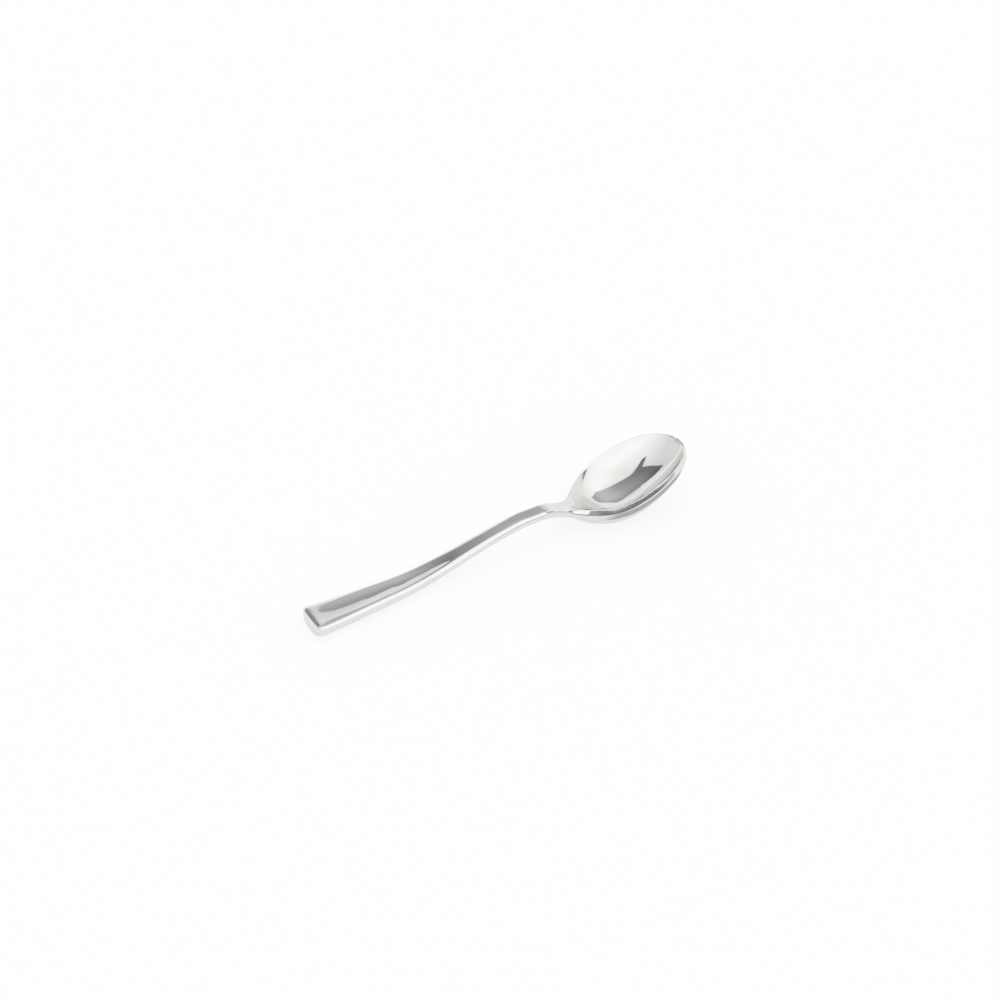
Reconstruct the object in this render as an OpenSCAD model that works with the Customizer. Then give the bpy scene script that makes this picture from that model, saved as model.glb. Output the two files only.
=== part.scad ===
// Teaspoon: a polished metal spoon with a squared, bevelled handle, a narrow arched neck
// and a deep egg-shaped bowl. The real spoon is one piece of metal. It is drawn here as its
// three zones, handle, neck and bowl, which meet face to face on square sections.
// X runs from the handle's end to the bowl's tip, Y across, and Z is up. The spoon lies as it
// does on a table: its lowest point is at Z = 0, and the origin is under its middle.

/* [Handle] */
// Length of the tapering handle, from its end to the neck
handle_len = 62; // [50:1:80]
// Width of the handle at its squared end
end_w = 12.4; // [9:0.1:18]
// Plan radius of the two corners of the end
end_corner_r = 1.8; // [1.4:0.1:4]
// How far the end leans back at its top
end_lean = 0.7; // [0:0.1:1.5]
// Length over which that lean runs out
lean_len = 8; // [5:0.5:16]
// Radius where the end meets the underside
end_under_r = 0.5; // [0.2:0.1:1]
// How the width draws in towards the neck: 1 is a straight taper, more is hollower
taper_power = 1.25; // [1.1:0.05:2]
// Thickness at the end, from the top edge to the underside
end_t = 4.8; // [3:0.1:7]
// Height of the upright side at the end, below the bevel
end_side_h = 1.7; // [0.5:0.1:2.5]
// Depth of the dished top face below its edges
dish_h = 0.25; // [0.05:0.05:0.6]
// Place from the end where the dish starts to run out
dish_from = 42; // [30:1:48]
// Place from the end where the top face is flat
dish_to = 52; // [50:1:60]
// Width of the bevel round the top face, in plan
bevel_w = 1; // [0.4:0.05:1.6]
// Height of that bevel
bevel_h = 0.7; // [0.3:0.05:1.2]

/* [Side view] */
// Height of the handle's top edge at its end
end_top = 5.2; // [4:0.1:9]
// Length over which the end lifts
end_lift_len = 12; // [6:1:24]
// Height of the handle's top edge at its lowest
low_top = 4.7; // [4:0.1:8]
// Place from the end where the handle starts to climb
climb_from = 28; // [15:1:40]
// Height of the top edge at the crest of the neck
arch_top = 12.2; // [8:0.1:18]
// Height of the rim where the shoulders meet the bowl
shoulder_top = 8.3; // [6:0.1:12]
// Height of the rim at the tip
tip_top = 17.9; // [10:0.1:24]

/* [Neck] */
// Length of the neck, from the handle to the crest of its arch
neck_len = 20; // [12:1:30]
// Width of the neck
neck_w = 5.9; // [4:0.1:8]
// Thickness of the neck, from the top edge to the underside
neck_t = 3.9; // [2.5:0.1:5]
// Height of the neck's upright side, below the bevel
neck_side_h = 1.1; // [0.4:0.1:1.8]

/* [Bowl] */
// Length from the crest of the neck to the tip
bowl_len = 58; // [52:1:70]
// Width of the bowl over its rim
bowl_w = 28; // [22:0.5:36]
// Length of the bowl from its widest place to the tip
bowl_front = 23.4; // [18:0.1:28]
// Length of the bowl from its widest place back to the shoulders
bowl_back = 18.5; // [14:0.1:22]
// Softness of the shoulders: more is a longer flare out of the neck
shoulder_ease = 0.27; // [0.12:0.01:0.4]
// Length over which the rim falls from the crest to the shoulders
shoulder_run = 13.5; // [8:0.5:20]
// Depth of the hollow below the rim
bowl_depth = 8; // [6:0.1:12]
// Wall at the bottom of the bowl
wall = 2.8; // [1:0.1:3.2]
// Fullness of the hollow along the bowl: 0 has sloping ends, more has steeper ones
end_swell = 0.6; // [0:0.05:0.8]
// Fullness of the hollow across the bowl, from its widest place on
side_swell = 0.65; // [0:0.05:0.8]
// Fullness of the underside of the bowl
belly_power = 0.36; // [0.3:0.01:0.6]
// Width of the rim's sloping edge, in plan
rim_w = 0.85; // [0.4:0.05:1.4]
// Height of the rim's sloping edge
rim_h = 2; // [0.8:0.1:2.6]
// Place past the crest where the bevel starts to turn into the rim
rim_from = 8; // [2:0.5:10]
// Place past the crest where the rim has its full height
rim_full = 17; // [12:0.5:24]

/* [Hidden] */

// Points across half a section, and sections along each stretch
half_points = 10;
corner_steps = 6;
handle_steps = 22;
neck_steps = 10;
back_steps = 26;
front_steps = 16;

// Step for slopes
tiny = 0.01;
// Sharpness of the join between the neck's underside and the bowl's
join_power = 3;
metal = [0.79, 0.79, 0.78];

// Places along the length
crest_x = handle_len + neck_len;
tip_x = crest_x + bowl_len;
wide_x = tip_x - bowl_front;
shoulder_x = crest_x + shoulder_run;
belly_depth = bowl_depth + wall - rim_h;
// The chin of the leaning end, which reaches furthest back
first_x = end_lean * end_under_r / end_t;

// An S-shaped step from 0 to 1
function smooth(t) = let (c = max(0, min(1, t))) c * c * (3 - 2 * c);
function mix(a, b, t) = a + (b - a) * t;

// Height of the inner top edge: end, low run, crest, shoulders and tip joined by S-shaped steps
function edge_z(x) = low_top
    + (end_top - low_top) * pow(max(0, 1 - x / end_lift_len), 2)
    + (arch_top - low_top) * smooth((x - climb_from) / (crest_x - climb_from))
    + (shoulder_top - arch_top) * smooth((x - crest_x) / shoulder_run)
    + (tip_top - shoulder_top) * smooth((x - shoulder_x) / (tip_x - shoulder_x));

// Share of the bowl's full section: an ellipse towards the tip, and a softened one towards the neck
function softened(q) = ln(1 + exp(q / shoulder_ease));
function fullness(x) =
    let (r = (x - wide_x) / (x < wide_x ? bowl_back : bowl_front), q = 1 - r * r)
    x < wide_x ? softened(q) / softened(1) : max(0, q);

// Half-width in plan: the taper, the egg of the bowl, and the rounded corners of the end
function taper(x) = mix(neck_w, end_w, pow(max(0, 1 - x / handle_len), taper_power)) / 2;
function corner_cut(x, r) = x < r ? r - sqrt(max(0, pow(r, 2) - pow(r - x, 2))) : 0;
function half_w(x) = sqrt(
    smooth((wide_x - x) / bowl_back) * pow(taper(x), 2) + pow(bowl_w / 2, 2) * fullness(x)
) - corner_cut(x, end_corner_r);

// Outward direction of the outline in plan
function slope(x) = (half_w(min(tip_x, x + tiny)) - half_w(max(0, x - tiny)))
    / (min(tip_x, x + tiny) - max(0, x - tiny));
function outward(x) = x <= 0 ? [-1, 0]
    : x >= tip_x ? [1, 0]
    : let (s = slope(x)) [-s, 1] / norm([-s, 1]);

// The bevel of the handle turns into the sloping edge of the rim
function rim_share(x) = smooth((x - crest_x - rim_from) / (rim_full - rim_from));
function edge_in(x) = mix(bevel_w, rim_w, rim_share(x));
function edge_drop(x) = mix(bevel_h, rim_h, rim_share(x));

// Top face: dished on the handle, hollow in the bowl. v runs from -1 to 1 across it. The hollow
// starts with shallow sides at the crest and has its full sides from the widest place on.
function dish_depth(x) = dish_h * (1 - smooth((x - dish_from) / (dish_to - dish_from)));
function hollow_depth(x) = let (f = fullness(x)) bowl_depth * f * (1 + end_swell * (1 - f));
function swell_at(x) = side_swell * smooth((x - crest_x) / (wide_x - crest_x));
function top_point(x, v) =
    let (n = outward(x), b = edge_in(x), inner_x = x - b * n.x, open = 1 - v * v)
    [
        inner_x,
        v * max(0, half_w(x) - b * n.y),
        edge_z(x < end_corner_r ? inner_x : x) - dish_depth(x) * open
            - hollow_depth(x) * open * (1 + swell_at(x) * v * v)
    ];

// Depth of the underside below the outer edge: a rounded D on the handle and neck, the belly on the bowl
function stem_depth(x, v) =
    let (
        along = smooth(x / handle_len),
        deep = (mix(end_t, neck_t, along) - edge_drop(x)) * (1 - rim_share(x)) - corner_cut(x, end_under_r),
        side = min(mix(end_side_h, neck_side_h, along) * (1 - rim_share(x)), deep)
    )
    abs(v) == 1 ? 0 : side + (deep - side) * sqrt(1 - v * v);
function belly_below(x, v) = belly_depth * pow(fullness(x) * (1 - v * v), belly_power);
function under_depth(x, v) =
    pow(pow(stem_depth(x, v), join_power) + pow(belly_below(x, v), join_power), 1 / join_power);
function under_point(x, v) = [x, v * half_w(x), edge_z(x) - edge_drop(x) - under_depth(x, v)];

// Leaning end: a point moves towards the bowl by its height and by how near it is to the end
function leaned(p) =
    let (height = max(0, min(1, (p.z - end_top + end_t) / end_t)), near = max(0, 1 - p.x / lean_len))
    p + [end_lean * height * near * near, 0, 0];

// Sections along the length
corner_xs = [for (i = [0:corner_steps]) end_corner_r * (1 - cos(90 * i / corner_steps))];
handle_xs = concat(corner_xs, [for (i = [1:handle_steps]) mix(end_corner_r, handle_len, i / handle_steps)]);
neck_xs = [for (i = [0:neck_steps]) mix(handle_len, crest_x, i / neck_steps)];
bowl_xs = concat(
    [for (i = [0:back_steps]) mix(crest_x, wide_x, i / back_steps)],
    [for (i = [1:front_steps]) i == front_steps ? tip_x : wide_x + bowl_front * sin(90 * i / front_steps)]
);

// The table touches the lowest point of the underside
lowest = min([for (x = concat(handle_xs, neck_xs, bowl_xs)) under_point(x, 0).z]);

// Places across a section, from one edge to the other
across = [for (i = [-half_points:half_points]) sin(90 * i / half_points)];
row = len(across);

// Two triangles for four corners, without those that have shrunk to a line
function four(a, b, c, d) = [
    for (t = [[a, b, c], [a, c, d]])
        if (t[0] != t[1] && t[1] != t[2] && t[2] != t[0]) t
];

// One zone of the spoon: a closed skin over its sections. The first section of the handle gets
// the end bevel, and the last section of the bowl shrinks to the tip.
module zone(xs, with_end = false, with_tip = false) {
    last = len(xs) - 1;
    full_rows = with_tip ? last : last + 1;
    tip_base = full_rows * 2 * row;
    end_base = tip_base + (with_tip ? 2 : 0);
    end_edge_z = edge_z(0) - edge_drop(0);

    points = concat(
        [
            for (j = [0:full_rows - 1])
                each concat([for (v = across) top_point(xs[j], v)], [for (v = across) under_point(xs[j], v)])
        ],
        with_tip ? [top_point(tip_x, 0), under_point(tip_x, 0)] : [],
        with_end
            ? [
                for (i = [1:row - 2])
                    [0, across[i] * half_w(0), end_edge_z - dish_depth(0) * (1 - pow(across[i], 2))]
            ]
            : []
    );

    function top_at(j, i) = with_tip && j == last ? tip_base : j * 2 * row + i;
    function under_at(j, i) = with_tip && j == last ? tip_base + 1 : j * 2 * row + row + i;
    function end_at(i) = i == 0 || i == row - 1 ? under_at(0, i) : end_base + i - 1;

    skin = [
        for (j = [0:last - 1])
            each concat(
                [for (i = [0:row - 2]) each four(top_at(j, i), top_at(j, i + 1), top_at(j + 1, i + 1), top_at(j + 1, i))],
                [
                    for (i = [0:row - 2])
                        each four(under_at(j, i), under_at(j + 1, i), under_at(j + 1, i + 1), under_at(j, i + 1))
                ],
                four(top_at(j, 0), top_at(j + 1, 0), under_at(j + 1, 0), under_at(j, 0)),
                four(top_at(j, row - 1), under_at(j, row - 1), under_at(j + 1, row - 1), top_at(j + 1, row - 1))
            )
    ];
    first_cap = with_end
        ? [
            for (i = [0:row - 2])
                each concat(
                    four(top_at(0, i), end_at(i), end_at(i + 1), top_at(0, i + 1)),
                    four(end_at(i), under_at(0, i), under_at(0, i + 1), end_at(i + 1))
                )
        ]
        : [for (i = [0:row - 2]) each four(top_at(0, i), under_at(0, i), under_at(0, i + 1), top_at(0, i + 1))];
    last_cap = with_tip
        ? []
        : [
            for (i = [0:row - 2])
                each four(top_at(last, i), top_at(last, i + 1), under_at(last, i + 1), under_at(last, i))
        ];

    translate([-(first_x + tip_x) / 2, 0, -lowest])
        polyhedron([for (p = points) leaned(p)], concat(skin, first_cap, last_cap), convexity = 4);
}

module handle() {
    color(metal) zone(handle_xs, with_end = true);
}

module neck() {
    color(metal) zone(neck_xs);
}

module bowl() {
    color(metal) zone(bowl_xs, with_tip = true);
}

handle();
neck();
bowl();
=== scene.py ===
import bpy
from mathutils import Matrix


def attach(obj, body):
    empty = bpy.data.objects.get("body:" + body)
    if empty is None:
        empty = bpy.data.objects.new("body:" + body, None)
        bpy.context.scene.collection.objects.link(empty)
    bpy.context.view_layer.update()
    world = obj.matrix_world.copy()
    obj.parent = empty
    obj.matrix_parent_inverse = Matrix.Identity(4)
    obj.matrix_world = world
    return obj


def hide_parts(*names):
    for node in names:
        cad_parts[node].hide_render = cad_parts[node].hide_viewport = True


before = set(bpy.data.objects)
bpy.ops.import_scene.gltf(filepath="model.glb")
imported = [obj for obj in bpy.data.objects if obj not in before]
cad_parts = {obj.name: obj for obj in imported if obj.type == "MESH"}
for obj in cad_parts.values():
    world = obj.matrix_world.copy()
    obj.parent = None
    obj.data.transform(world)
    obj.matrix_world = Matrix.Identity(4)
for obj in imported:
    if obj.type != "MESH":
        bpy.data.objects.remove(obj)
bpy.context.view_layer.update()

import math

import bpy
import numpy as np
from mathutils import Vector

# Sizes are in millimetres, and x runs from the handle's end to the bowl's tip
mm = 0.001
white = (1, 1, 1, 1)

handleSizes = {
    "length": 62, "endWidth": 12.4, "cornerRadius": 1.8, "taperPower": 1.25,
    "thickness": 4.8, "sideHeight": 1.7, "underRound": 0.5,  # rounding where the end meets the underside
    "lean": 0.7, "leanLength": 8,  # how far the end leans back at its top, and where that has run out
    "dish": 0.25, "dishFrom": 42, "dishTo": 52,  # the dished top face runs out between these two places
    "bevelWidth": 1.0, "bevelHeight": 0.7,
    "endTop": 5.2, "liftLength": 12, "lowTop": 4.7, "climbFrom": 28,
}
neckSizes = {
    "length": 20, "width": 5.9, "thickness": 3.9, "sideHeight": 1.1, "archTop": 12.2,
    "crestRound": 0.45, "crestRun": 8,  # what rounds the crest off, and how far from it that runs out
}
bowlSizes = {
    "length": 58, "width": 28, "front": 23.4, "back": 18.5,
    "shoulderEase": 0.27, "shoulderRun": 13.5, "shoulderTop": 8.3, "tipTop": 17.9,
    "depth": 8, "wall": 2.8, "endSwell": 0.6, "sideSwell": 0.65, "bellyPower": 0.36, "joinPower": 3,
    "rimWidth": 0.85, "rimHeight": 2.0, "rimFrom": 8, "rimFull": 17,
}
edgeSizes = {
    "endRound": 2.2, "topRound": 0.8, "roundRun": 20,  # top edge's rounding: at the end, later, run between
    "cornerGap": 0.1,  # what that rounding leaves free inside the end's corners
    "bevelRound": 0.6, "rimFace": 0.8, "rimRound": 0.25, "sideRound": 0.35,
    "leastHalf": 0.05,  # half-width that the top face keeps at the tip
    "farTurn": 1.2,  # the most that a rounding takes of the top face's half, an angle in radians
    "underFrom": 0.05,  # where the underside starts, an angle in radians
}
gridCounts = {
    "corner": 24, "handle": 150, "neck": 60, "bowlBack": 140, "bowlFront": 90,
    "across": 81, "round": 6, "halvings": 30, "weldDigits": 6,
}
straightShares = np.array([0.06, 0.5, 0.94])  # where the straight stretches of an edge have their points

crestX = handleSizes["length"] + neckSizes["length"]
tipX = crestX + bowlSizes["length"]
wideX = tipX - bowlSizes["front"]
shoulderX = crestX + bowlSizes["shoulderRun"]
bellyDepth = bowlSizes["depth"] + bowlSizes["wall"] - bowlSizes["rimHeight"]


# S-shaped step: t squared times 3 - 2t, between 0 and 1
def smoothStep(t):
    c = np.clip(t, 0, 1)
    return c * c * (3 - 2 * c)


# Share t of the way from a to b
def mix(a, b, t):
    return a + (b - a) * t


# What a rounded corner takes off at a distance x from its start: radius minus the circle's height there
def cornerCut(x, radius):
    inside = np.clip(radius - x, 0, radius)
    return radius - np.sqrt(radius**2 - inside**2)


# Height of the inner top edge: lifted end, low run, crest, shoulders and tip joined by S-shaped steps, with
# the crest rounded off by the square of 1 - t squared
def edgeHeight(x):
    lift = np.clip(1 - x / handleSizes["liftLength"], 0, 1) ** 2
    climb = smoothStep((x - handleSizes["climbFrom"]) / (crestX - handleSizes["climbFrom"]))
    ease = np.clip(1 - ((x - crestX) / neckSizes["crestRun"]) ** 2, 0, 1) ** 2
    fall = smoothStep((x - crestX) / bowlSizes["shoulderRun"])
    rise = smoothStep((x - shoulderX) / (tipX - shoulderX))
    return (
        handleSizes["lowTop"] + (handleSizes["endTop"] - handleSizes["lowTop"]) * lift
        + (neckSizes["archTop"] - handleSizes["lowTop"]) * climb - neckSizes["crestRound"] * ease
        + (bowlSizes["shoulderTop"] - neckSizes["archTop"]) * fall
        + (bowlSizes["tipTop"] - bowlSizes["shoulderTop"]) * rise
    )


# Share of the bowl's full section: 1 - r squared towards the tip, and the same softened towards the neck
def fullness(x):
    r = (x - wideX) / np.where(x < wideX, bowlSizes["back"], bowlSizes["front"])
    q = 1 - r * r
    ease = bowlSizes["shoulderEase"]
    softened = np.logaddexp(0, q / ease) / np.logaddexp(0, 1 / ease)
    return np.where(x < wideX, softened, np.maximum(q, 0))


# Half-width of handle and neck: from the neck's to the end's by a power of the way that is left
def taper(x):
    left = np.clip(1 - x / handleSizes["length"], 0, 1) ** handleSizes["taperPower"]
    return mix(neckSizes["width"], handleSizes["endWidth"], left) / 2


# Half-width in plan: root of the squared taper and the squared egg of the bowl, less the end's corners
def halfWidth(x):
    fading = smoothStep((wideX - x) / bowlSizes["back"])
    whole = np.sqrt(fading * taper(x) ** 2 + (bowlSizes["width"] / 2) ** 2 * fullness(x))
    return whole - cornerCut(x, handleSizes["cornerRadius"])


# Depth of the dished top face below its edges, running out in an S-shaped step
def dishDepth(x):
    run = smoothStep((x - handleSizes["dishFrom"]) / (handleSizes["dishTo"] - handleSizes["dishFrom"]))
    return handleSizes["dish"] * (1 - run)


# Outward direction of the outline in plan, square to its slope
def planNormal(x, step=0.005, upright=1e9):
    low, high = np.clip(x - step, 0, tipX), np.clip(x + step, 0, tipX)
    slope = (halfWidth(high) - halfWidth(low)) / (high - low)
    slope = np.where(x <= 0, upright, np.where(x >= tipX, -upright, slope))
    length = np.hypot(slope, 1)
    return -slope / length, 1 / length


# How far the bevel has become the rim: an S-shaped step along the shoulders
def rimShare(x):
    return smoothStep((x - crestX - bowlSizes["rimFrom"]) / (bowlSizes["rimFull"] - bowlSizes["rimFrom"]))


# How far the rounding of the top edge reaches onto the face: widest near the end, within the end's corners
def faceRound(x):
    wide = mix(edgeSizes["endRound"], edgeSizes["topRound"], smoothStep(x / edgeSizes["roundRun"]))
    free = handleSizes["cornerRadius"] - handleSizes["bevelWidth"] - edgeSizes["cornerGap"]
    return mix(np.minimum(wide, free), wide, smoothStep(x / handleSizes["cornerRadius"] / 2))


# Coordinates as one array of points
def join(*coordinates):
    return np.stack(np.broadcast_arrays(*coordinates), -1)


# Curve that leaves a towards b and arrives at c, a quadratic Bezier, at the shares t of its way
def roundCorner(a, b, c, t):
    a, b, c = a[..., None, :], b[..., None, :], c[..., None, :]
    t = t[:, None]
    return (1 - t) ** 2 * a + 2 * t * (1 - t) * b + t**2 * c


# Points on the straight line from a to b
def straightRun(a, b):
    return mix(a[..., None, :], b[..., None, :], straightShares[:, None])


# Edge from the top face to the side: rounded top edge, straight slope, rounded side edge and the upright
# start of the side
def edgeLeg(topEnd, topEdge, sideEdge, underStart, slopeRound):
    run = sideEdge - topEdge
    length = np.linalg.norm(run, axis=-1, keepdims=True)
    slopeStart = topEdge + run * slopeRound / length
    slopeEnd = sideEdge - run * edgeSizes["sideRound"] / length
    sideStart = sideEdge - np.array([0, 0, edgeSizes["sideRound"]])
    turn = np.linspace(0, 1, gridCounts["round"] + 1)[1:]
    return np.concatenate([
        roundCorner(topEnd, topEdge, slopeStart, turn),
        straightRun(slopeStart, slopeEnd), slopeEnd[..., None, :],
        roundCorner(slopeEnd, sideEdge, sideStart, turn),
        straightRun(sideStart, underStart),
    ], -2)


# Rings round the spoon at the stations x: over the top from -y to +y, down the edge, back below, up again.
# Top: y = width times sin(a), height = edge - (dish + depth (1 + swell sin^2(a))) cos^2(a), where a runs from
# edge to edge. Underside: the same in y, with the depths of the D-shaped stem and of the belly joined as the
# root of the sum of their powers.
def spoonRings(x):
    x = x[:, None]
    half, full, share, edge = halfWidth(x), fullness(x), rimShare(x), edgeHeight(x)
    nx, ny = planNormal(x)
    inset = mix(handleSizes["bevelWidth"], bowlSizes["rimWidth"], share)
    drop = mix(handleSizes["bevelHeight"], bowlSizes["rimHeight"], share)

    # where the top face ends: one rounding back from the edge, found by halving the angle
    w = np.maximum(half - inset * ny, edgeSizes["leastHalf"])
    d = bowlSizes["depth"] * full * (1 + bowlSizes["endSwell"] * (1 - full))
    swell = bowlSizes["sideSwell"] * smoothStep((x - crestX) / (wideX - crestX))
    rounding = mix(faceRound(x), edgeSizes["rimFace"], share)
    slopeRound = mix(edgeSizes["bevelRound"], edgeSizes["rimRound"], share)
    low, high = np.zeros_like(w), np.full_like(w, edgeSizes["farTurn"])
    for step in range(gridCounts["halvings"]):
        middle = (low + high) / 2
        fall = d * np.sin(middle) ** 2 * (1 + swell * np.cos(middle) ** 2)
        far = np.hypot(w * (1 - np.cos(middle)), fall) > rounding
        low, high = np.where(far, low, middle), np.where(far, middle, high)
    faceAngle = math.pi / 2 - low
    faceInset = inset + w * (1 - np.sin(faceAngle))
    along = np.linspace(-1, 1, gridCounts["across"])
    a = faceAngle * along
    corner = x < handleSizes["cornerRadius"]
    faceHeight = np.where(corner, edgeHeight(x - faceInset * nx), edge)
    hollow = dishDepth(x) + d * (1 + swell * np.sin(a) ** 2)
    top = join(
        x - faceInset * nx,
        np.maximum(half - faceInset * ny, 0) * np.sin(a) / np.sin(faceAngle),
        faceHeight - hollow * np.cos(a) ** 2,
    )

    b = (math.pi / 2 - edgeSizes["underFrom"]) * along[::-1]
    reach = smoothStep(x / handleSizes["length"])
    deep = (mix(handleSizes["thickness"], neckSizes["thickness"], reach) - drop) * (1 - share)
    deep = deep - cornerCut(x, handleSizes["underRound"])
    side = np.minimum(mix(handleSizes["sideHeight"], neckSizes["sideHeight"], reach) * (1 - share), deep)
    stem = side + (deep - side) * np.cos(b)
    belly = bellyDepth * (full * np.cos(b) ** 2) ** bowlSizes["bellyPower"]
    power = bowlSizes["joinPower"]
    below = (stem**power + belly**power) ** (1 / power)
    under = join(x, half * np.sin(b), edge - drop - np.maximum(below, edgeSizes["sideRound"]))

    innerHeight = np.where(corner, edgeHeight(x - inset * nx), edge)
    topEdge = join(x - inset * nx, np.maximum(half - inset * ny, 0), innerHeight)[:, 0]
    sideEdge = join(x, half, edge - drop)[:, 0]
    leg = edgeLeg(top[:, -1], topEdge, sideEdge, under[:, 0], slopeRound)
    otherLeg = leg[:, ::-1] * np.array([1, -1, 1])
    return np.concatenate([top, leg, under, otherLeg], 1)


# Leaning end: points move towards the bowl by their height, and by the square of what is left of the way
def leaned(points):
    bottom = handleSizes["endTop"] - handleSizes["thickness"]
    height = np.clip((points[..., 2] - bottom) / handleSizes["thickness"], 0, 1)
    near = np.clip(1 - points[..., 0] / handleSizes["leanLength"], 0, 1) ** 2
    return points + join(handleSizes["lean"] * height * near, 0, 0)


# Slope of the surface along one way of the grid: each step weighted by the length of the other, and at an
# open end one and a half times the last step less half the one before
def slopeAlong(points, axis, closed=False, tiny=1e-9):
    ahead = np.roll(points, -1, axis) - points
    behind = points - np.roll(points, 1, axis)
    a, b = (np.linalg.norm(step, axis=-1, keepdims=True) + tiny for step in (ahead, behind))
    slope = ahead * (b / a) + behind * (a / b)
    if not closed:
        slope, ahead, behind = (np.moveaxis(grid, axis, 0) for grid in (slope, ahead, behind))
        slope[0] = 1.5 * ahead[0] - 0.5 * ahead[1]
        slope[-1] = 1.5 * behind[-1] - 0.5 * behind[-2]
        slope = np.moveaxis(slope, 0, axis)
    return slope


# Vectors made one long: each divided by its length
def unit(vectors, tiny=1e-12):
    return vectors / np.maximum(np.linalg.norm(vectors, axis=-1, keepdims=True), tiny)


print("spoon: stations and rings")
count = gridCounts
radius = handleSizes["cornerRadius"]
stations = np.concatenate([
    radius * (1 - np.cos(np.linspace(0, math.pi / 2, count["corner"] + 1))),
    np.linspace(radius, handleSizes["length"], count["handle"] + 1)[1:],
    np.linspace(handleSizes["length"], crestX, count["neck"] + 1)[1:],
    np.linspace(crestX, wideX, count["bowlBack"] + 1)[1:],
    wideX + bowlSizes["front"] * np.sin(np.linspace(0, math.pi / 2, count["bowlFront"] + 1))[1:],
])
stations[-1] = tipX
handleEnd = count["corner"] + count["handle"]
neckEnd = handleEnd + count["neck"]
tipEnd = len(stations) - 1

uprightRings = spoonRings(stations)
rings = leaned(uprightRings)
ringCount = rings.shape[1]
legCount = (ringCount - 2 * count["across"]) // 2
normals = unit(np.cross(slopeAlong(rings, 0), slopeAlong(rings, 1, True)))
normals[-1] = normals[-2]

# wear along an edge, most on its two roundings, in the order in which edgeLeg lays the points
turnWear = np.sin(math.pi * np.arange(1, count["round"] + 1) / (count["round"] + 1))
unworn = np.zeros(len(straightShares))
wornLeg = np.concatenate([turnWear, unworn, [0], turnWear, unworn])

# moves the middle of the length over the origin, and the lowest point to 0
place = np.array([-(rings[..., 0].min() + tipX) / 2, 0, -rings[:-1, :, 2].min()])
print(f"spoon: {len(stations)} rings of {ringCount} points")


# Rows of the handle's end, from the top face's edge over the bevel and down the flat face to the underside,
# as points, normals and their numbers: the outer rows and columns are the first ring's own points
def endRows(firstNew):
    m, k = count["across"], legCount
    ring = uprightRings[0]
    top, under = ring[:m], ring[m + k : 2 * m + k][::-1]
    across = top[:, 1] / top[-1, 1]
    dip = dishDepth(0) * (1 - across**2)
    y = halfWidth(np.zeros(1)) * across
    topEdge = join(handleSizes["bevelWidth"], y, edgeHeight(handleSizes["bevelWidth"]) - dip)
    sideEdge = join(0, y, handleSizes["endTop"] - handleSizes["bevelHeight"] - dip)
    leg = edgeLeg(top, topEdge, sideEdge, under, edgeSizes["bevelRound"]).swapaxes(0, 1)
    points = leaned(np.concatenate([top[None], leg, under[None]]))
    facing = unit(np.cross(slopeAlong(points, 1), slopeAlong(points, 0)))
    numbers = firstNew + np.arange(points.shape[0] * m).reshape(-1, m)
    numbers[0] = np.arange(m)
    numbers[-1] = np.arange(2 * m + k - 1, m + k - 1, -1)
    numbers[1:-1, -1] = np.arange(m, m + k)
    numbers[1:-1, 0] = np.arange(2 * m + 2 * k - 1, 2 * m + k - 1, -1)
    return points, facing, numbers


# Four-cornered faces between neighbouring rows of numbers
def gridFaces(numbers, closed):
    a, b = numbers[:-1], numbers[1:]
    faces = np.stack([a, b, np.roll(b, -1, 1), np.roll(a, -1, 1)], -1)
    return faces.reshape(-1, 4) if closed else faces[:, :-1].reshape(-1, 4)


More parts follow.
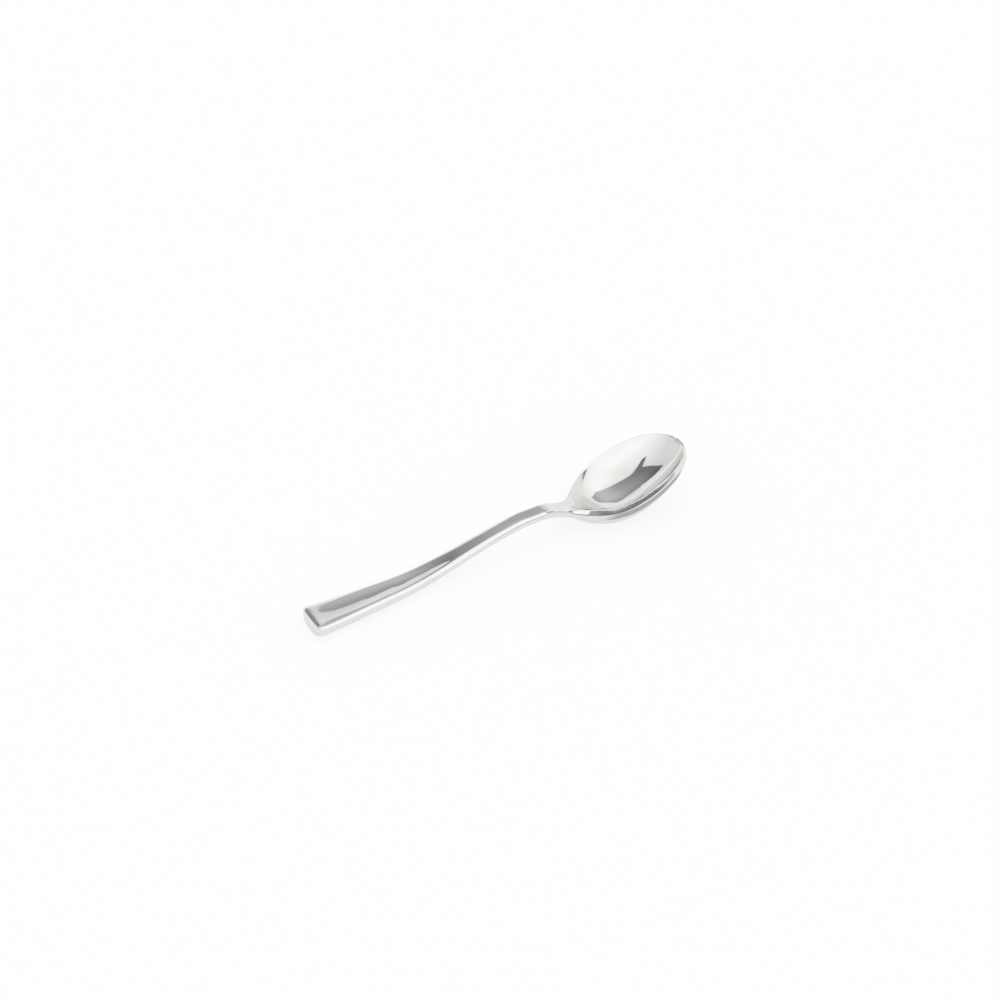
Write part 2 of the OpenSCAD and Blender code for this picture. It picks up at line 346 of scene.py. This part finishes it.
# One zone of the spoon as a closed mesh: points that coincide are welded, and faces that shrink at the tip
# become triangles
def addZone(name, first, last):
    points = rings[first : last + 1].reshape(-1, 3)
    facing = normals[first : last + 1].reshape(-1, 3)
    numbers = np.arange(len(points)).reshape(-1, ringCount)
    faces = gridFaces(numbers, True)
    smooth = np.zeros(count["across"])
    worn = np.tile(np.concatenate([smooth, wornLeg, smooth, wornLeg[::-1]]), last + 1 - first)
    if first == 0:
        endPoints, endFacing, endNumbers = endRows(len(points))
        faces = np.concatenate([faces, gridFaces(endNumbers, False)[:, ::-1]])
        points = np.concatenate([points, endPoints.reshape(-1, 3)])
        facing = np.concatenate([facing, endFacing.reshape(-1, 3)])
        worn = np.concatenate([worn, smooth, np.repeat(wornLeg, count["across"]), smooth])
    caps = [] if first == 0 else [(numbers[0], (-1, 0, 0))]
    caps += [] if last == tipEnd else [(numbers[-1][::-1], (1, 0, 0))]

    rounded = points.round(count["weldDigits"])
    firstOf, numberOf = np.unique(rounded, axis=0, return_index=True, return_inverse=True)[1:]
    numberOf = numberOf.reshape(-1)
    merged = numberOf[faces]
    double = merged == np.roll(merged, -1, 1)
    whole, shrunk = double.sum(1) == 0, double.sum(1) == 1
    triangles = faces[shrunk][~double[shrunk]].reshape(-1, 3)
    polygons = numberOf[faces[whole]].tolist() + numberOf[triangles].tolist()
    corners = [facing[faces[whole].reshape(-1)], facing[triangles.reshape(-1)]]
    for ring, outward in caps:
        polygons.append(numberOf[ring].tolist())
        corners.append(np.tile(outward, (len(ring), 1)))

    used, numberOfUsed = np.unique(np.concatenate([np.ravel(p) for p in polygons]), return_inverse=True)
    lengths = np.cumsum([len(p) for p in polygons])[:-1]
    polygons = [p.tolist() for p in np.split(numberOfUsed.reshape(-1), lengths)]
    mesh = bpy.data.meshes.new(name)
    mesh.from_pydata(((points[firstOf][used] + place) * mm).tolist(), [], polygons)
    mesh.polygons.foreach_set("use_smooth", np.ones(len(mesh.polygons), bool))
    mesh.normals_split_custom_set(np.concatenate(corners).tolist())
    mesh.attributes.new("wear", "FLOAT", "POINT").data.foreach_set("value", worn[firstOf][used])
    mesh.update()
    piece = bpy.data.objects.new(name, mesh)
    bpy.context.scene.collection.objects.link(piece)
    print(f"{name}: {len(mesh.vertices)} points, {len(mesh.polygons)} faces")
    return piece


zones = {"handle": (0, handleEnd), "neck": (handleEnd, neckEnd), "bowl": (neckEnd, tipEnd)}
pieces = {node: addZone("polished_" + node, first, last) for node, (first, last) in zones.items()}


# Shader maths as Python expressions: a Wire is a socket, and sums on it add Math nodes
class Wire:
    def __init__(self, graph, socket):
        self.graph, self.socket = graph, socket

    def maths(self, operation, *values):
        return self.graph.add("ShaderNodeMath", {"operation": operation}, *values)

    def __add__(self, other):
        return self.maths("ADD", self, other)

    def __radd__(self, other):
        return self.maths("ADD", other, self)

    def __sub__(self, other):
        return self.maths("SUBTRACT", self, other)

    def __rsub__(self, other):
        return self.maths("SUBTRACT", other, self)

    def __mul__(self, other):
        return self.maths("MULTIPLY", self, other)

    def __rmul__(self, other):
        return self.maths("MULTIPLY", other, self)


class Graph:
    def __init__(self, tree):
        self.tree = tree
        tree.nodes.clear()

    # any node: its type, its settings, which are set first, then the values or wires of its sockets, by place
    # or by name, where None leaves a socket as it is
    def add(self, kind, settings, *placed, output=0, **named):
        node = self.tree.nodes.new(kind)
        for key, value in settings.items():
            setattr(node, key, value)
        for key, value in [*enumerate(placed), *named.items()]:
            socket = node.inputs[key.replace("_", " ") if isinstance(key, str) else key]
            if isinstance(value, Wire):
                self.tree.links.new(value.socket, socket)
            elif value is not None:
                socket.default_value = value
        return Wire(self, node.outputs[output]) if len(node.outputs) else None

    # S-shaped step from 0 at low to 1 at high
    def ramp(self, value, low, high):
        return self.add("ShaderNodeMapRange", {"interpolation_type": "SMOOTHSTEP"}, value, low, high, 0, 1)


steelLook = {
    "color": (0.79, 0.79, 0.78, 1), "filmColor": (0.755, 0.755, 0.735, 1), "roughness": 0.04,
    "lines": {"size": (40, 0.5, 0.5), "seed": 0, "rough": 0.03, "height": 0.002},  # polishing lines
    "scratches": {
        "size": (9, 0.1, 3), "seed": 11, "turns": (0.35, -0.6), "from": 0.68, "to": 0.74, "rough": 0.12,
    },
    "film": {"size": (14, 9, 9), "seed": 5, "from": 0.5, "to": 0.7, "rough": 0.05},  # faint finger marks
    "wearRough": 0.06,  # edges rubbed by washing and stacking
    "detail": 2,
}


# Noise whose blobs have the look's size in millimetres along x, y and z
def noise(graph, where, look):
    scale = tuple(1 / (mm * s) for s in look["size"])
    shift = (look["seed"],) * 3
    stretched = graph.add("ShaderNodeVectorMath", {"operation": "MULTIPLY_ADD"}, where, scale, shift)
    return graph.add("ShaderNodeTexNoise", {}, stretched, Scale=1, Detail=steelLook["detail"])


# Where a noise is high: 0 below one level, 1 above another
def patches(graph, where, look):
    return graph.ramp(noise(graph, where, look), look["from"], look["to"])


# Mirror-polished steel with fine lines along the spoon, hair-fine scratches, finger film and rubbed edges
def polishedSteel(name):
    material = bpy.data.materials.new(name)
    material.use_nodes = True
    graph = Graph(material.node_tree)
    where = graph.add("ShaderNodeTexCoord", {}, output="Object")
    scratches = 0
    for turn in steelLook["scratches"]["turns"]:
        turned = graph.add("ShaderNodeVectorRotate", {"rotation_type": "Z_AXIS"}, where, Angle=turn)
        scratches = patches(graph, turned, steelLook["scratches"]) + scratches
    film = patches(graph, where, steelLook["film"])
    lines = noise(graph, where, steelLook["lines"])
    wear = graph.add("ShaderNodeAttribute", {"attribute_name": "wear"}, output="Fac")
    roughness = (
        steelLook["roughness"] + lines * steelLook["lines"]["rough"] + film * steelLook["film"]["rough"]
        + scratches * steelLook["scratches"]["rough"] + wear * steelLook["wearRough"]
    )
    # the Mix node's colours are its seventh and eighth sockets and its third output
    color = graph.add(
        "ShaderNodeMix", {"data_type": "RGBA"}, film, None, None, None, None, None,
        steelLook["color"], steelLook["filmColor"], output=2,
    )
    height = steelLook["lines"]["height"] * mm
    bump = graph.add("ShaderNodeBump", {}, Strength=1, Distance=height, Height=lines)
    steel = graph.add(
        "ShaderNodeBsdfPrincipled", {}, Base_Color=color, Metallic=1, Roughness=roughness, Normal=bump
    )
    graph.add("ShaderNodeOutputMaterial", {}, Surface=steel)
    return material


for node, piece in pieces.items():
    piece.data.materials.append(polishedSteel(node + "_steel"))
    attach(piece, "root")
    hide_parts(node)
print("steel: done")


# Flat sheet of the studio, and the graph of its own finish
def addSheet(name, corners, finish):
    mesh = bpy.data.meshes.new(name)
    mesh.from_pydata([tuple(mm * c for c in corner) for corner in corners], [], [range(len(corners))])
    sheet = bpy.data.objects.new(name, mesh)
    bpy.context.scene.collection.objects.link(sheet)
    material = bpy.data.materials.new(finish)
    material.use_nodes = True
    mesh.materials.append(material)
    return sheet, Graph(material.node_tree)


floorLook = {"size": 4000, "color": (0.95, 0.95, 0.95, 1), "glow": 0.8, "mirroredGlow": 0.6}


# White paper under the spoon: it takes the shadow, and is mixed with white for the camera and in the steel
def addFloor():
    half = floorLook["size"] / 2
    corners = [(-half, -half, 0), (half, -half, 0), (half, half, 0), (-half, half, 0)]
    floor, graph = addSheet("floor", corners, "white_paper")
    paper = graph.add("ShaderNodeBsdfDiffuse", {}, floorLook["color"])
    plainWhite = graph.add("ShaderNodeEmission", {}, white, 1)
    camera = graph.add("ShaderNodeLightPath", {}, output="Is Camera Ray")
    glossy = graph.add("ShaderNodeLightPath", {}, output="Is Glossy Ray")
    shown = camera * floorLook["glow"] + glossy * floorLook["mirroredGlow"]
    surface = graph.add("ShaderNodeMixShader", {}, shown, paper, plainWhite)
    graph.add("ShaderNodeOutputMaterial", {}, Surface=surface)


addFloor()


# Soft lighter and darker parts of the studio: azimuth, elevation, where the part is full and where it ends,
# all in degrees, and what it adds to the light
studioLook = {
    "level": 1.0,
    "parts": [
        (-100, 55, 20, 75, 0.2),  # light over the camera's side
        (165, 50, 20, 65, -0.16),  # towards the handle
        (85, 32, 10, 35, -0.12),  # above the far horizon
        (80, 0, 8, 22, 0.2),  # far horizon
    ],
}


# Unit vector towards an azimuth and an elevation
def direction(azimuth, elevation):
    a, e = math.radians(azimuth), math.radians(elevation)
    return math.cos(a) * math.cos(e), math.sin(a) * math.cos(e), math.sin(e)


# Soft light from all round, which the camera sees as plain white
def addWorld():
    world = bpy.data.worlds.new("studio")
    bpy.context.scene.world = world
    world.use_nodes = True
    graph = Graph(world.node_tree)
    ray = graph.add("ShaderNodeTexCoord", {}, output="Generated")
    light = studioLook["level"]
    for azimuth, elevation, full, end, amount in studioLook["parts"]:
        middle = direction(azimuth, elevation)
        facing = graph.add("ShaderNodeVectorMath", {"operation": "DOT_PRODUCT"}, ray, middle, output="Value")
        outside, inside = math.cos(math.radians(end)), math.cos(math.radians(full))
        light = graph.ramp(facing, outside, inside) * amount + light
    camera = graph.add("ShaderNodeLightPath", {}, output="Is Camera Ray")
    shown = camera * (1 - light) + light
    background = graph.add("ShaderNodeBackground", {}, white, shown)
    graph.add("ShaderNodeOutputWorld", {}, Surface=background)


addWorld()


# Strip just above the table along the bowl's near side, between two distances from its outline, where the
# steel mirrors a painted shadow
def besideBowl(start, end, inner, outer, height, stops):
    x = np.linspace(start, end, stops)
    nx, ny = planNormal(x)
    strip = [join(x + away * nx - tipX / 2, -halfWidth(x) - away * ny, height) for away in (inner, outer)]
    return np.concatenate([strip[0], strip[1][::-1]]).tolist()


# Cards round the table that only the steel mirrors: a level outline or corners in millimetres, the strength
# of the light, and how it changes from place to place along an axis
cardLook = {
    "ceiling": {
        "level": 600, "strength": 1,
        "outline": [
            (-133, 654), (13, 683), (75, 660), (147, 645), (190, 660), (219, 680), (240, 712), (275, 715),
            (300, 650), (330, 605), (557, 596), (640, 420), (679, 227), (435, 86), (375, 18), (162, 99),
            (64, 160), (31, 204), (-1, 236), (-34, 177), (-130, 9), (-183, 12), (-93, 182), (-59, 250),
            (-92, 419),
        ],
        "glow": {"X": [(-60, 0.17), (200, 0.52), (300, 0.52), (480, 0.4)], "Y": [(400, 1.2), (690, 0.7)]},
    },
    "front": {
        "strength": 1,
        "corners": [
            (3, -34, 0), (30, -36, 0), (48, -38, 11), (85, -41.5, 11.5), (112, -44, 12.8),
            (85, -41.5, 14.6), (60, -39, 14.8), (45, -37.5, 14), (22, -35.5, 13.1),
            (11, -34.6, 14), (6, -34.2, 15), (3, -34, 16),
        ],
        "glow": {"X": [(3, 0.5), (12, 0.26), (62, 0.24), (86, 0.6)]},
    },
    "over_bowl": {
        "level": 19, "strength": 0.97,
        "outline": [
            (48.5, 14.6), (52.3, 14.6), (52.6, 10.6), (54, 10.1), (56, 9.3), (58, 8.7),
            (60, 8.2), (63, 7.2), (66, 8), (66, 22), (52, 24), (48.5, 18),
        ],
    },
    "end": {
        "level": 15, "strength": 1,
        "outline": [(-64.5, 4), (-65.3, 13.4), (-84, 19), (-84, 4)],
        "glow": {"X": [(-84, 0.28), (-65, 0.36)]},
    },
    "over_end": {
        "level": 40, "strength": 1,
        "outline": [
            (-52, 28), (-47.7, 33), (-47.4, 35), (-46.9, 36.4), (-46.3, 37.6), (-45.5, 38.3),
            (-44.6, 38.9), (-43.8, 39.3), (-41.4, 39.5), (-33, 40.2), (-33, 75), (-52, 75),
        ],
        "glow": {"Y": [(41, 0.8), (54, 0.97)]},
    },
    "neck_edge": {
        "strength": 0.45,
        "corners": [(28, -10, 12), (28, -5.5, 12), (28, -5, 34), (28, -10, 34)],
    },
    "neck": {
        "level": 30, "strength": 1,
        "outline": [(10, 14), (10, 30), (54, 44), (54, 30), (32, 14)],
        "glow": {"X": [(24, 0.47), (46, 0.85)]},
    },
    # painted shadow: a grey glowing strip on the table beside the bowl's near side, seen only in the steel,
    # standing in for the floor's shadow there
    "shade": {
        "strength": 1,
        "corners": besideBowl(97, 139.5, inner=2.5, outer=13, height=0.2, stops=16),
        "glow": {"X": [(27, 0.95), (35, 0.52)]},
    },
}


# Brightness that changes from stop to stop along one way, in S-shaped steps
def glowAlong(graph, along, stops):
    glow = stops[0][1]
    for (start, low), (end, high) in zip(stops, stops[1:]):
        glow = graph.ramp(along, start * mm, end * mm) * (high - low) + glow
    return glow


# One card, hidden from the camera, from the floor's light and from shadows
def addCard(name, look):
    corners = look["corners"] if "corners" in look else [(x, y, look["level"]) for x, y in look["outline"]]
    card, graph = addSheet(name, corners, name)
    card.visible_camera = card.visible_diffuse = card.visible_shadow = False
    where = graph.add("ShaderNodeTexCoord", {}, output="Object")
    glows = [
        glowAlong(graph, graph.add("ShaderNodeSeparateXYZ", {}, where, output=axis), stops)
        for axis, stops in look.get("glow", {}).items()
    ]
    color = math.prod(glows) if glows else white
    light = graph.add("ShaderNodeEmission", {}, color, look["strength"])
    graph.add("ShaderNodeOutputMaterial", {}, Surface=light)


for cardName, look in cardLook.items():
    addCard(cardName + "_card", look)
print("studio: done")

cameraView = {
    "azimuth": -33.245, "elevation": 36.079, "distance": 370.43, "target": (-3.316, -0.39, 21.64),
    "lens": 43.2, "sensor": 36, "nearest": 10, "farthest": 20000,
}


def addCamera():
    a, e = math.radians(cameraView["azimuth"]), math.radians(cameraView["elevation"])
    back = Vector((math.sin(a) * math.cos(e), -math.cos(a) * math.cos(e), math.sin(e)))
    data = bpy.data.cameras.new("camera")
    data.lens = cameraView["lens"]
    data.sensor_width = cameraView["sensor"]
    data.clip_start = cameraView["nearest"] * mm
    data.clip_end = cameraView["farthest"] * mm
    camera = bpy.data.objects.new("camera", data)
    bpy.context.scene.collection.objects.link(camera)
    camera.location = (Vector(cameraView["target"]) + back * cameraView["distance"]) * mm
    camera.rotation_euler = back.to_track_quat("Z", "Y").to_euler()
    bpy.context.scene.camera = camera


addCamera()
bpy.context.scene.view_settings.view_transform = "Standard"
